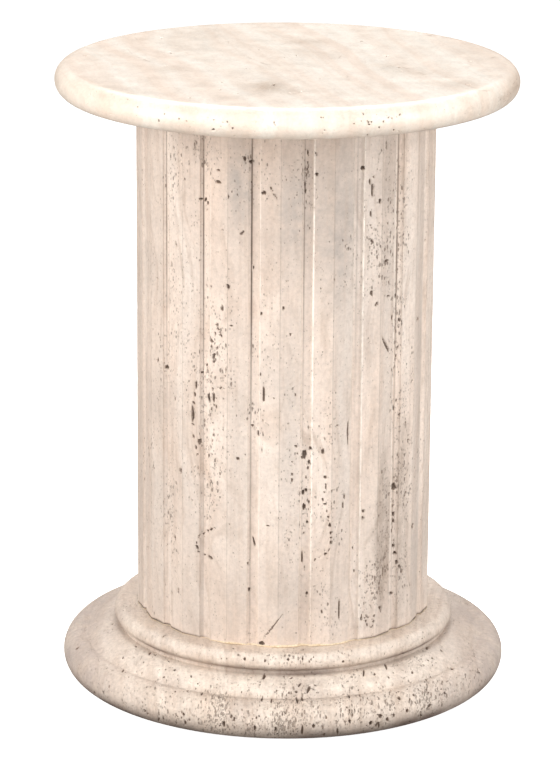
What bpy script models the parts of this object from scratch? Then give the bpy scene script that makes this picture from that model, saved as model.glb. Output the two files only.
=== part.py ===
"""Travertine pedestal column: a round top on a fluted shaft on a moulded foot.

Three pieces of stone stand on each other by their own weight. Lengths are in metres, +Z is up,
the column stands on z = 0 with its axis on the Z axis, and -Y is the side that faces the viewer.
"""
import math

import bmesh
import bpy

# Round top: a slab whose whole edge is a half round
TOP_DIAMETER = 0.459
TOP_THICKNESS = 0.030

# Shaft: flat faces that meet in sharp edges, each with a narrow hollow flute down its middle
SHAFT_DIAMETER = 0.300
SHAFT_HEIGHT = 0.5275
SHAFT_FACES = 18
SHAFT_TURN = math.radians(-1.9)
FLUTE_WIDTH = 0.012
FLUTE_DEPTH = 0.003

# Foot, upper part: a flat seat round the shaft, a round moulding and a small upright step under it
SEAT_MARGIN = 0.014
UPPER_ROUND_RADIUS = 0.0092
STEP_REACH = 0.0045
STEP_HEIGHT = 0.0033

# Foot, middle part: a sloping face, slightly swelled, that runs down into a crease
SLOPE_RUN = 0.0341
SLOPE_DROP = 0.0140
SLOPE_SWELL = 0.0030
CREASE_STEP = 0.0011

# Foot, lower part: a large round moulding, flatter above its widest line than below it
CROWN_REACH = 0.0038
BELLY_REACH = 0.0194
CROWN_RISE = 0.0192
BELLY_HEIGHT = 0.0198

# Gap that stays open between two stones where one stands on the other
SEAM = 0.0003

# Fineness of the round forms
TURN_STEPS = 96
EDGE_STEPS = 10
SMALL_ROUND_STEPS = 7
SLOPE_STEPS = 6
CROWN_STEPS = 8
BELLY_STEPS = 6
FLUTE_STEPS = 6
SHARP_ANGLE = math.radians(25)

# Stone colours as sRGB hex, with their roughness
TOP_STONE = ("travertine_filled_honed", "EFE0D0", 0.38)
SHAFT_STONE = ("travertine_vein_cut", "E6D6C6", 0.62)
FOOT_STONE = ("travertine_cross_cut", "DECDBB", 0.58)


def clear_scene():
    """Remove every object of the open scene."""
    for item in list(bpy.data.objects):
        bpy.data.objects.remove(item, do_unlink=True)


def linear_colour(hex_colour):
    """Turn an sRGB hex colour into the linear RGBA that a shader takes."""
    channels = []
    for start in (0, 2, 4):
        value = int(hex_colour[start:start + 2], 16) / 255
        channels.append(value / 12.92 if value <= 0.04045 else ((value + 0.055) / 1.055) ** 2.4)
    return (*channels, 1.0)


def stone_material(name, hex_colour, roughness):
    """A plain stone: not metallic, in one colour."""
    material = bpy.data.materials.new(name)
    material.use_nodes = True
    shader = material.node_tree.nodes["Principled BSDF"]
    shader.inputs["Base Color"].default_value = linear_colour(hex_colour)
    shader.inputs["Roughness"].default_value = roughness
    shader.inputs["Metallic"].default_value = 0.0
    return material


def arc_points(centre, radii, start_degrees, end_degrees, steps):
    """Points along an elliptical arc in the profile plane, both ends included."""
    points = []
    for index in range(steps + 1):
        angle = math.radians(start_degrees + (end_degrees - start_degrees) * index / steps)
        points.append((centre[0] + radii[0] * math.cos(angle), centre[1] + radii[1] * math.sin(angle)))
    return points


def swelled_line(start, end, swell, steps):
    """Points from start to end, bulging outwards by swell halfway; the start is left out."""
    run = end[0] - start[0]
    rise = end[1] - start[1]
    length = math.hypot(run, rise)
    points = []
    for index in range(1, steps + 1):
        share = index / steps
        bulge = 4 * swell * share * (1 - share)
        points.append((start[0] + run * share - rise / length * bulge,
                       start[1] + rise * share + run / length * bulge))
    return points


def finish_object(name, mesh, stone):
    """Put a finished mesh in the scene, shaded smooth except at its sharp edges."""
    mesh.materials.append(stone_material(*stone))
    mesh.shade_smooth()
    mesh.set_sharp_from_angle(angle=SHARP_ANGLE)
    item = bpy.data.objects.new(name, mesh)
    bpy.context.collection.objects.link(item)
    return item


def turned_piece(name, outline, stone):
    """Turn an outline, given from top to bottom as (radius, height), once round the Z axis."""
    top_height = outline[0][1]
    bottom_height = outline[-1][1]
    closed_outline = [(0.0, top_height), *outline, (0.0, bottom_height)]
    shape = bmesh.new()
    points = [shape.verts.new((radius, 0.0, height)) for radius, height in closed_outline]
    edges = [shape.edges.new(pair) for pair in zip(points, points[1:])]
    bmesh.ops.spin(shape, geom=points + edges, cent=(0, 0, 0), axis=(0, 0, 1), angle=math.tau,
                   steps=TURN_STEPS, use_merge=True)
    bmesh.ops.remove_doubles(shape, verts=shape.verts, dist=0.00001)
    bmesh.ops.recalc_face_normals(shape, faces=shape.faces)
    mesh = bpy.data.meshes.new(name)
    shape.to_mesh(mesh)
    shape.free()
    return finish_object(name, mesh, stone)


def foot_outline():
    """Outline of the foot, from the edge of its seat down to the ground, and the seat's height."""
    shaft_radius = SHAFT_DIAMETER / 2
    seat_radius = shaft_radius + SEAT_MARGIN
    step_radius = seat_radius + STEP_REACH
    crease_radius = step_radius + SLOPE_RUN
    crown_radius = crease_radius + CROWN_REACH
    crown_start = math.degrees(math.acos(-CROWN_REACH / BELLY_REACH))
    crown_centre = (crown_radius, BELLY_HEIGHT)
    crown = arc_points(crown_centre, (BELLY_REACH, CROWN_RISE), crown_start, 0, CROWN_STEPS)
    belly_centre = (crown_radius + BELLY_REACH - BELLY_HEIGHT, BELLY_HEIGHT)
    belly = arc_points(belly_centre, (BELLY_HEIGHT, BELLY_HEIGHT), 0, -90, BELLY_STEPS)
    crease_height = crown[0][1] - CREASE_STEP
    slope_height = crease_height + SLOPE_DROP
    slope_top = (step_radius, slope_height)
    slope = swelled_line(slope_top, (crease_radius, crease_height), SLOPE_SWELL, SLOPE_STEPS)
    round_end = -math.degrees(math.acos(STEP_REACH / UPPER_ROUND_RADIUS))
    round_centre_height = slope_height + STEP_HEIGHT - UPPER_ROUND_RADIUS * math.sin(math.radians(round_end))
    upper_round = arc_points((seat_radius, round_centre_height), (UPPER_ROUND_RADIUS, UPPER_ROUND_RADIUS),
                             90, round_end, SMALL_ROUND_STEPS)
    seat_height = round_centre_height + UPPER_ROUND_RADIUS
    outline = [*upper_round, slope_top, *slope, *crown, *belly[1:]]
    return outline, seat_height


def shaft_outline():
    """Plan of the shaft: an edge of the polygon, then the flute of the face that follows it."""
    pitch = math.tau / SHAFT_FACES
    edge_radius = SHAFT_DIAMETER / 2
    face_distance = edge_radius * math.cos(pitch / 2)
    flute_radius = ((FLUTE_WIDTH / 2) ** 2 + FLUTE_DEPTH ** 2) / (2 * FLUTE_DEPTH)
    flute_half_angle = math.atan2(FLUTE_WIDTH / 2, flute_radius - FLUTE_DEPTH)
    flute_centre = face_distance + flute_radius - FLUTE_DEPTH
    points = []
    for face in range(SHAFT_FACES):
        edge_angle = SHAFT_TURN + face * pitch
        points.append((edge_radius * math.sin(edge_angle), -edge_radius * math.cos(edge_angle)))
        middle = edge_angle + pitch / 2
        for index in range(FLUTE_STEPS + 1):
            angle = flute_half_angle * (2 * index / FLUTE_STEPS - 1)
            outward = flute_centre - flute_radius * math.cos(angle)
            sideways = flute_radius * math.sin(angle)
            points.append((outward * math.sin(middle) + sideways * math.cos(middle),
                           -outward * math.cos(middle) + sideways * math.sin(middle)))
    return points


def fluted_shaft(bottom):
    """Raise the shaft's plan from the foot's seat to the underside of the top."""
    shape = bmesh.new()
    plan = shape.faces.new([shape.verts.new((x, y, bottom)) for x, y in shaft_outline()])
    raised = bmesh.ops.extrude_face_region(shape, geom=[plan], use_keep_orig=True)
    top_points = [item for item in raised["geom"] if isinstance(item, bmesh.types.BMVert)]
    bmesh.ops.translate(shape, verts=top_points, vec=(0, 0, SHAFT_HEIGHT))
    bmesh.ops.recalc_face_normals(shape, faces=shape.faces)
    mesh = bpy.data.meshes.new("fluted_shaft")
    shape.to_mesh(mesh)
    shape.free()
    return finish_object("fluted_shaft", mesh, SHAFT_STONE)


def round_top(bottom):
    """Turn the slab, whose edge is half round, on top of the shaft."""
    half = TOP_THICKNESS / 2
    outline = arc_points((TOP_DIAMETER / 2 - half, bottom + half), (half, half), 90, -90, EDGE_STEPS)
    return turned_piece("round_top", outline, TOP_STONE)


def build_column():
    """Build the three stones, each standing on the one below it."""
    outline, seat_height = foot_outline()
    turned_piece("moulded_foot", outline, FOOT_STONE)
    shaft_bottom = seat_height + SEAM
    fluted_shaft(shaft_bottom)
    round_top(shaft_bottom + SHAFT_HEIGHT + SEAM)


clear_scene()
build_column()
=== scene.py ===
"""Looks of the travertine pedestal column: a round top on a fluted shaft on a moulded foot.

Lengths are in metres, +Z is up, the column stands on z = 0 with its axis on the Z axis, and -Y is
the side that faces the viewer. A turn is an angle round the axis in degrees: 0 faces the viewer and
90 is on the viewer's right. Every stone is one closed skin: a plan carried down a profile, with its
pores and pits cut into it.
"""
import logging
import math
from dataclasses import dataclass, field
from enum import Enum
from functools import partial
from typing import Any, Callable, Optional, Sequence

import bpy
import numpy as np
from mathutils import Matrix


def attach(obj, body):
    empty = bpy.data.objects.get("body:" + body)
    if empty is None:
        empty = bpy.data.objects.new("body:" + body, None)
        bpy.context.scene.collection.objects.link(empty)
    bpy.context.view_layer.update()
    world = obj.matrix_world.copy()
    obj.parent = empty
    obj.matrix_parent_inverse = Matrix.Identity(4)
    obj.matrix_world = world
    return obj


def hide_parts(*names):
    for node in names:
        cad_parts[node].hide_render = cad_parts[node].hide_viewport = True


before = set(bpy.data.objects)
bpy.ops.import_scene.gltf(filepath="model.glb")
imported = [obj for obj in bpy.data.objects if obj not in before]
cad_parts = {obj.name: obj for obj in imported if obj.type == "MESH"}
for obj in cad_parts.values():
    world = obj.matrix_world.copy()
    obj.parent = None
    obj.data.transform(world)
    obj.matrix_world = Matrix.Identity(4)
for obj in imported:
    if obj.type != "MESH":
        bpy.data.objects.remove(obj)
log = logging.getLogger("column")

Array = np.ndarray
Draws = np.random.Generator
Finish = bpy.types.Material
Piece = bpy.types.Object
Socket = bpy.types.NodeSocket

MM = 0.001
FINE = 4                                # a cell with a pit in it is cut into FINE x FINE small ones
PICTURE_HEIGHT = 779                    # height of the picture in pixels
DEEPEST_PIT = 3.2                       # mm
RIM = 1.06                              # where a pit's wall begins, in half sizes of the pit
WALL = 0.60                             # width of the wall, in the same unit
LINING = 0.80                           # width over which the stain in a pit fades, in the same unit
LOBES = ((3, 0.10), (5, 0.08))          # how often a rim wanders out on its way round, and how far
FELT = 0.05                             # mm: a shallower hollow needs no small cells
DARK_DEPTH = 1.7                        # mm: a pit of this depth or more is dark to the bottom
# The last two fields hold painted shade with some dust, and painted highlights and light
ATTRIBUTES = ("layer", "pit", "porous", "stain", "grey", "grime", "clean")


class Lie(Enum):
    """How the layers of a stone lie: the direction that they follow one another in."""

    FACING = (-0.17, -0.985, 0.02)      # the layers face the viewer
    EDGEWISE = (0.995, -0.06, 0.08)     # the viewer looks along the layers
    LEANING = (0.962, 0.272, 0.03)      # as edgewise, running away to the left


class Side(Enum):
    """Side of the studio that a light stands on, as the sign of x."""

    LEFT = -1
    MIDDLE = 0
    RIGHT = 1


# Numbers, fields and marks


def smooth_step(value: Array) -> Array:
    """Ease a value from 0 to 1 with level ends: 3t^2 - 2t^3, held at 0 and 1 outside."""
    share = np.clip(value, 0.0, 1.0)
    return share * share * (3.0 - 2.0 * share)


def wrapped(turn: Array) -> Array:
    """Bring a difference of turns into -180 to 180 degrees."""
    return (turn + 180.0) % 360.0 - 180.0


@dataclass(frozen=True)
class Ripples:
    """A smooth seeded field in space: a sum of sine waves in random directions."""

    seed: int
    size: float                         # about the length of one wave, in metres
    count: int = 14
    lengths: tuple[float, float] = (0.6, 1.9)   # shortest and longest wave, in sizes

    def at(self, points: Array) -> Array:
        """Value of the field at points.

        Args:
            points: array whose last axis is x, y, z in metres.

        Returns:
            The sum of sin(wave . point + phase) over the waves, scaled to a spread of about 1.
        """
        rng = np.random.default_rng(self.seed)
        directions = rng.normal(size=(self.count, 3))
        directions /= np.linalg.norm(directions, axis=1, keepdims=True)
        waves = directions * (math.tau / (self.size * rng.uniform(*self.lengths, (self.count, 1))))
        phases = rng.uniform(0.0, math.tau, self.count)
        total = np.zeros(points.shape[:-1])
        for wave, phase in zip(waves, phases):
            total += np.sin(points @ wave + phase)
        return total / math.sqrt(self.count / 2.0)


@dataclass(frozen=True)
class Swell:
    """A place where the layers bulge, which a cut shows as rings round an eye."""

    turn: float
    place: float                        # mm down the profile, or mm of height on the shaft
    half_width: float                   # mm
    half_height: float                  # mm
    rise: float                         # mm, of the layers in the middle


@dataclass(frozen=True)
class Patch:
    """A soft patch on a surface, such as a porous field, a stain or a grey cloud."""

    turn: float
    place: float                        # mm, as for a swell
    half_turn: float                    # degrees
    half_height: float                  # mm
    amount: float
    edge: float = 1.0                   # 1 fades out all the way, 3 has a flat middle and firm edges


@dataclass(frozen=True)
class Pit:
    """One open pit. A positive lean brings its upper end to the right."""

    turn: float
    place: float                        # mm, as for a swell
    length: float                       # mm, along the pit
    width: float                        # mm, across it
    lean: float = 0.0                   # degrees from upright
    depth: float = 0.0                  # mm, or 0 for one that follows from the width
    stain: float = 0.0                  # how much brown mineral lines it

    def cut_depth(self) -> float:
        """Depth of the pit in mm: as given, or 0.5 mm more than three quarters of its width."""
        return self.depth or min(DEEPEST_PIT, 0.5 + 0.75 * self.width)


@dataclass(frozen=True)
class Chain:
    """A row of small pits that follows the edge of a layer."""

    points: tuple[tuple[float, float], ...]     # (turn, place) along the row
    count: int
    width: float = 2.2                          # mm
    length: float = 4.5                         # mm

    def pits(self, rng: Draws, radius: float) -> list[Pit]:
        """Set the pits out along the row.

        Args:
            rng: source of the small differences between the pits.
            radius: radius of the surface in mm, which makes lengths of turns.

        Returns:
            The pits: each sits up to 0.3 of a step from its even place on the line, leans along it,
            and has 0.45 to 1.25 of the usual length and width.
        """
        line = np.array(self.points, float)
        flat = np.column_stack([np.radians(line[:, 0]) * radius, line[:, 1]])
        along = np.concatenate([[0.0], np.cumsum(np.hypot(*np.diff(flat, axis=0).T))])
        stops = (np.arange(self.count) + 0.5 + rng.uniform(-0.3, 0.3, self.count)) / self.count * along[-1]
        across, place = (np.interp(stops, along, flat[:, axis]) for axis in (0, 1))
        step = 0.5 * along[-1] / self.count
        run = [np.interp(stops + step, along, way) - np.interp(stops - step, along, way) for way in flat.T]
        leans = np.degrees(np.arctan2(*run))
        sizes = rng.uniform(0.45, 1.25, (self.count, 2))
        return [Pit(math.degrees(x / radius), z, self.length * size[0], self.width * size[1], lean)
                for x, z, size, lean in zip(across, place, sizes, leans)]


def made(kind: type, rows: Sequence[Sequence[float]]) -> tuple[Any, ...]:
    """Make one mark of a kind from each row of values, which stand in the order of its fields."""
    return tuple(kind(*row) for row in rows)


# Surfaces


def refined(stops: Array) -> Array:
    """Put FINE - 1 even stops between each two given ones."""
    steps = np.arange(FINE) / FINE
    between = stops[:-1, None] + np.diff(stops)[:, None] * steps
    return np.append(between.ravel(), stops[-1])


def joined_stops(*spans: tuple[float, float, int]) -> Array:
    """Join even spans, each (start, end, cells), into one row of stops."""
    parts = [np.linspace(start, end, cells + 1)[:-1] for start, end, cells in spans]
    return np.append(np.concatenate(parts), spans[-1][1])


def nearest(stops: Array, wanted: Array) -> Array:
    """Number of the stop next above each wanted value, for stops in any order."""
    order = np.argsort(stops)
    return order[np.clip(np.searchsorted(stops[order], wanted), 0, order.size - 1)]


def grid_cells(rows: int, columns: int) -> tuple[Array, ...]:
    """Row and column of every cell of a grid, row after row."""
    return tuple(part.ravel() for part in np.meshgrid(np.arange(rows), np.arange(columns), indexing="ij"))


def quads(number: Callable[[Array, Array], Array], row: Array, column: Array,
          steps: Sequence[tuple[int, int]] = ((0, 0), (0, 1), (1, 1), (1, 0))) -> Array:
    """Faces with four corners on a grid.

    Args:
        number: gives the point number at a row and a column.
        row: row of each face's first corner.
        column: its column.
        steps: the corners, as steps in row and column from the first.

    Returns:
        The corners' point numbers, one row for each face.
    """
    return np.stack([number(row + down, column + aside) for down, aside in steps], 1)


@dataclass
class StoneSkin:
    """The closed skin of one stone.

    The point at column c and row r is (scale[r] * plan[c], height[r]), moved inwards along the
    surface's normal by what pits and wear take off. Cells with a pit are cut finer, and the cells
    beside them take in the extra points, so that the skin has no cracks.
    """

    plan: Array                         # x, y of each fine column, once round
    scale: Array                        # what each fine row multiplies the plan by
    height: Array                       # z of each fine row, from the top down
    place: Array                        # the rows' places in mm, rising or falling
    lie: Lie
    swells: Sequence[Swell] = ()
    seed: int = 1
    wave_rise: float = 5.0              # mm, of the long waves in the layers
    wave_size: float = 0.16             # m
    base: Array = field(init=False)
    normal: Array = field(init=False)
    turn: Array = field(init=False)
    radius: Array = field(init=False)
    fields: dict[str, Array] = field(init=False)
    wear: Array = field(init=False)

    def __post_init__(self) -> None:
        """Work out the smooth surface, its normals and the layers that it cuts."""
        shape = (self.scale.size, self.plan.shape[0])
        self.base = np.empty((*shape, 3))
        self.base[..., :2] = self.scale[:, None, None] * self.plan
        self.base[..., 2] = self.height[:, None]
        round_way = np.roll(self.base, -1, axis=1) - np.roll(self.base, 1, axis=1)
        down_way = np.gradient(self.base, axis=0)
        normal = np.cross(down_way, round_way)
        self.normal = normal / np.maximum(np.linalg.norm(normal, axis=-1, keepdims=True), 1e-12)
        self.turn = np.degrees(np.arctan2(self.plan[:, 0], -self.plan[:, 1]))
        self.radius = self.scale * np.hypot(*self.plan.T).mean() / MM
        self.fields = {name: np.zeros(shape) for name in ATTRIBUTES}
        self.wear = np.zeros(shape)
        layer = self.base @ np.array(self.lie.value)
        layer += Ripples(self.seed, self.wave_size, 18).at(self.base) * self.wave_rise * MM
        for swell in self.swells:
            across, up = self.offsets(swell.turn, swell.place)
            layer += swell.rise * MM * np.exp(-(across / swell.half_width) ** 2 - (up / swell.half_height) ** 2)
        self.fields["layer"] = layer

    def offsets(self, turn: float, place: float, rows: slice = slice(None),
                columns: slice | Array = slice(None)) -> tuple[Array, Array]:
        """Distances in mm from a place on the skin.

        Args:
            turn: turn of the place in degrees.
            place: where it is on the profile in mm.
            rows: the rows that are wanted.
            columns: the columns that are wanted.

        Returns:
            The distances to the right and upwards, each by row and column.
        """
        across = np.radians(wrapped(self.turn[columns] - turn))[None, :] * self.radius[rows, None]
        sign = 1.0 if self.place[0] > self.place[-1] else -1.0
        up = sign * (self.place[rows] - place)[:, None]
        return across, np.broadcast_to(up, across.shape)

    def lay(self, name: str, patches: Sequence[Patch]) -> None:
        """Add soft patches to a field: amount * exp(-(a^2 + b^2)^edge), a and b in half sizes.

        Args:
            name: the field.
            patches: what is added.
        """
        for patch in patches:
            a = wrapped(self.turn - patch.turn)[None, :] / patch.half_turn
            b = (self.place - patch.place)[:, None] / patch.half_height
            self.fields[name] += patch.amount * np.exp(-(a ** 2 + b ** 2) ** patch.edge)

    def cut(self, pits: Sequence[Pit], rng: Draws) -> None:
        """Cut pits into the skin, each the deepest of what is there.

        A pit is an ellipse whose rim wanders with three and five lobes; its wall falls from the rim
        to a flat floor in a smooth step.

        Args:
            pits: the pits to cut.
            rng: source of the rims' lobes.
        """
        for pit in pits:
            reach = 0.65 * max(pit.length, pit.width)
            rows = np.flatnonzero(np.abs(self.place - pit.place) < reach)
            if rows.size == 0:
                continue
            span = slice(rows[0], rows[-1] + 1)
            near = max(float(self.radius[span].mean()), 1.0)
            columns = np.flatnonzero(np.abs(wrapped(self.turn - pit.turn)) < math.degrees(reach / near))
            across, up = self.offsets(pit.turn, pit.place, span, columns)
            lean = math.radians(pit.lean)
            a = (up * math.cos(lean) + across * math.sin(lean)) / (0.5 * pit.length)
            b = (across * math.cos(lean) - up * math.sin(lean)) / (0.5 * pit.width)
            around = np.arctan2(b, a)
            phases = rng.uniform(0.0, math.tau, len(LOBES))
            wander = [size * np.sin(count * around + phase) for (count, size), phase in zip(LOBES, phases)]
            reached = np.hypot(a, b) * sum(wander, 1.0)
            sunk = pit.cut_depth() * smooth_step((RIM - reached) / WALL)
            window = np.ix_(np.arange(span.start, span.stop), columns)
            self.fields["pit"][window] = np.maximum(self.fields["pit"][window], sunk)
            if pit.stain:
                lined = pit.stain * smooth_step((RIM - reached) / LINING)
                self.fields["stain"][window] = np.maximum(self.fields["stain"][window], lined)

    def scattered(self, rng: Draws, tries: int, rows: tuple[float, float],
                  width: tuple[float, float], stretch: float) -> list[Pit]:
        """Scatter pits where the stone is porous, drawn out along its layers.

        The width is the least one plus a gamma draw, the length is 0.8 to 1.25 widths and more where
        the layers are cut square, the lean strays by 15 degrees from the layer's, and the depth is
        0.25 mm more than 0.72 widths.

        Args:
            rng: source of places and sizes.
            tries: how many places are tried; a place is kept with the chance that the field
                "porous" gives there.
            rows: lowest and highest place in mm.
            width: least and usual width of a pit in mm.
            stretch: how much longer than wide a pit is where the layers are cut square.

        Returns:
            The pits.
        """
        places = rng.uniform(*rows, tries)
        turns = rng.uniform(-180.0, 180.0, tries)
        near_row, near_column = nearest(self.place, places), nearest(self.turn, turns)
        keep = rng.uniform(size=tries) < self.fields["porous"][near_row, near_column]
        widths = (width[0] + (width[1] - width[0]) * rng.gamma(1.6, 0.6, tries))[keep]
        lengths = rng.uniform(0.8, 1.25, tries)[keep]
        row, column = near_row[keep], near_column[keep]
        layer, columns = self.fields["layer"], self.turn.size

        def crossed(end: tuple[Array, Array], start: tuple[Array, Array]) -> Array:
            """How much of the layers lies between two points, as a share of their distance."""
            apart = np.linalg.norm(self.base[end] - self.base[start], axis=1) / MM
            return (layer[end] - layer[start]) / MM / np.maximum(apart, 0.1)

        reach = 3                       # fine cells to either side
        up_slope = crossed((np.maximum(row - reach, 0), column),
                           (np.minimum(row + reach, self.place.size - 1), column))
        side_slope = crossed((row, (column + reach) % columns), (row, (column - reach) % columns))
        lengths = widths * lengths * (1.0 + stretch * np.minimum(1.0, np.hypot(side_slope, up_slope)))
        leans = np.degrees(np.arctan2(-up_slope, side_slope)) + rng.normal(0.0, 15.0, up_slope.size)
        rows_of_values = zip(turns[keep], places[keep], lengths, widths, leans, 0.25 + 0.72 * widths)
        return [Pit(*map(float, values)) for values in rows_of_values]

    def cells(self) -> list[Array]:
        """Faces of the skin as point numbers on the fine grid (row * columns + column).

        Returns:
            Arrays of faces, each with its own number of corners. The two numbers that follow the
            grid's stand for the poles.
        """
        columns = self.turn.size
        down, across = (self.place.size - 1) // FINE, columns // FINE
        sunk = self.fields["pit"] > FELT
        wide = np.concatenate([sunk, sunk[:, :1]], axis=1)
        marked = np.zeros((down, across), bool)
        for r, c in zip(*grid_cells(FINE + 1, FINE + 1)):
            marked |= wide[r:r + down * FINE:FINE, c:c + across * FINE:FINE][:down, :across]
        marked[0] = marked[-1] = False

        def number(row: int | Array, column: Array) -> Array:
            """Number of a point of the fine grid, whose columns go round."""
            return row * columns + column % columns

        rows, cols = grid_cells(down, across)
        fine = marked.ravel()
        faces = [quads(number, rows[fine] * FINE + r, cols[fine] * FINE + c, ((0, 0), (1, 0), (1, 1), (0, 1)))
                 for r, c in zip(*grid_cells(FINE, FINE))]
        none = np.zeros((1, across), bool)
        beside = [np.roll(marked, 1, axis=1), np.vstack([marked[1:], none]),
                  np.roll(marked, -1, axis=1), np.vstack([none, marked[:-1]])]
        kind = sum(side.astype(int) << bit for bit, side in enumerate(beside)).ravel()
        for case in range(16):
            chosen = ~fine & (kind == case)
            if not chosen.any():
                continue
            y, x = rows[chosen] * FINE, cols[chosen] * FINE
            left, under, right, over = ([0] + [s for s in range(1, FINE) if case >> bit & 1] for bit in range(4))
            walk = [number(y + s, x) for s in left] + [number(y + FINE, x + s) for s in under]
            walk += [number(y + FINE - s, x + FINE) for s in right]
            walk += [number(y, x + FINE - s) for s in over]
            faces.append(np.stack(walk, 1))
        grid, last = self.place.size * columns, self.place.size - 1
        ring = np.arange(across) * FINE
        faces.append(np.stack([np.full(across, grid), number(0, ring), number(0, ring + FINE)], 1))
        faces.append(np.stack([np.full(across, grid + 1), number(last, ring + FINE), number(last, ring)], 1))
        return faces

    def build(self, name: str, material: Finish, sharp: float) -> Piece:
        """Make the mesh and its object.

        Args:
            name: name of the piece.
            material: finish of the stone.
            sharp: angle in degrees past which an edge is shaded sharp.

        Returns:
            The object, at the origin, with its place in its mesh.
        """
        faces = self.cells()
        taken = (self.fields["pit"] + self.wear)[..., None] * MM
        points = (self.base - self.normal * taken).reshape(-1, 3)
        poles = np.array([[0.0, 0.0, self.height[0]], [0.0, 0.0, self.height[-1]]])
        points = np.vstack([points, poles])
        corners = np.concatenate([part.ravel() for part in faces])
        used, corners = np.unique(corners, return_inverse=True)
        counts = np.concatenate([np.full(len(part), part.shape[1]) for part in faces])
        mesh = mesh_from_arrays(name, points[used], corners, counts)
        for key in ATTRIBUTES:
            values = np.append(self.fields[key].ravel(), self.fields[key][[0, -1], 0])[used]
            if key == "pit":
                values = smooth_step(values / DARK_DEPTH)
            mesh.attributes.new(key, "FLOAT", "POINT").data.foreach_set("value", values.astype(np.float32))
        mesh.set_sharp_from_angle(angle=math.radians(sharp))
        return placed(name, mesh, material)


def mesh_from_arrays(name: str, points: Array, corners: Array, counts: Array) -> bpy.types.Mesh:
    """Put whole arrays into a mesh.

    Args:
        name: name of the mesh.
        points: x, y, z of each point.
        corners: point number of every corner, face after face.
        counts: number of corners of each face.

    Returns:
        The mesh, shaded smooth.
    """
    mesh = bpy.data.meshes.new(name)
    mesh.vertices.add(len(points))
    mesh.vertices.foreach_set("co", points.astype(np.float32).ravel())
    mesh.loops.add(len(corners))
    mesh.loops.foreach_set("vertex_index", corners.astype(np.int32).ravel())
    mesh.polygons.add(len(counts))
    starts = np.concatenate([[0], np.cumsum(counts)[:-1]])
    mesh.polygons.foreach_set("loop_start", starts.astype(np.int32))
    mesh.update(calc_edges=True)
    mesh.validate()
    mesh.shade_smooth()
    return mesh


def placed(name: str, mesh: bpy.types.Mesh, material: Finish) -> Piece:
    """Put a mesh with its finish into the scene, as an object at the origin."""
    mesh.materials.append(material)
    item = bpy.data.objects.new(name, mesh)
    bpy.context.scene.collection.objects.link(item)
    return item


def closed_tube(name: str, points: Array, material: Finish) -> Piece:
    """Join a grid of points that closes both ways into a ring-shaped skin.

    Args:
        name: name of the piece.
        points: x, y, z by step round the axis and step round the section.
        material: its finish.

    Returns:
        The object.
    """
    around, section = points.shape[:2]

    def number(step: Array, corner: Array) -> Array:
        """Number of a point; the steps round the axis and those round the section both close."""
        return (step % around) * section + corner % section

    faces = quads(number, *grid_cells(around, section))
    mesh = mesh_from_arrays(name, points.reshape(-1, 3), faces.ravel(), np.full(len(faces), 4))
    return placed(name, mesh, material)


# Finishes


def linear(hex_colour: str) -> tuple[float, float, float, float]:
    """Turn an sRGB hex colour into linear RGBA."""
    values = [int(hex_colour[start:start + 2], 16) / 255 for start in (0, 2, 4)]
    return (*(v / 12.92 if v <= 0.04045 else ((v + 0.055) / 1.055) ** 2.4 for v in values), 1.0)


def feed(tree: bpy.types.NodeTree, node: bpy.types.Node, inputs: dict[Any, Any]) -> None:
    """Give each input of a node, by name or number, a value or the output socket that feeds it."""
    for key, value in inputs.items():
        if isinstance(value, Socket):
            tree.links.new(value, node.inputs[key])
        else:
            node.inputs[key].default_value = value


def add_node(tree: bpy.types.NodeTree, kind: str, inputs: Optional[dict[Any, Any]] = None,
             **settings: Any) -> bpy.types.Node:
    """Add a node with its links and settings.

    Args:
        tree: the tree that takes the node.
        kind: kind of node, without the words ShaderNode.
        inputs: for each input, by name or number, a value or the output socket that feeds it.
        settings: its properties.

    Returns:
        The node.
    """
    node = tree.nodes.new("ShaderNode" + kind)
    for key, value in settings.items():
        setattr(node, key, value)
    feed(tree, node, inputs or {})
    return node


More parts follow.
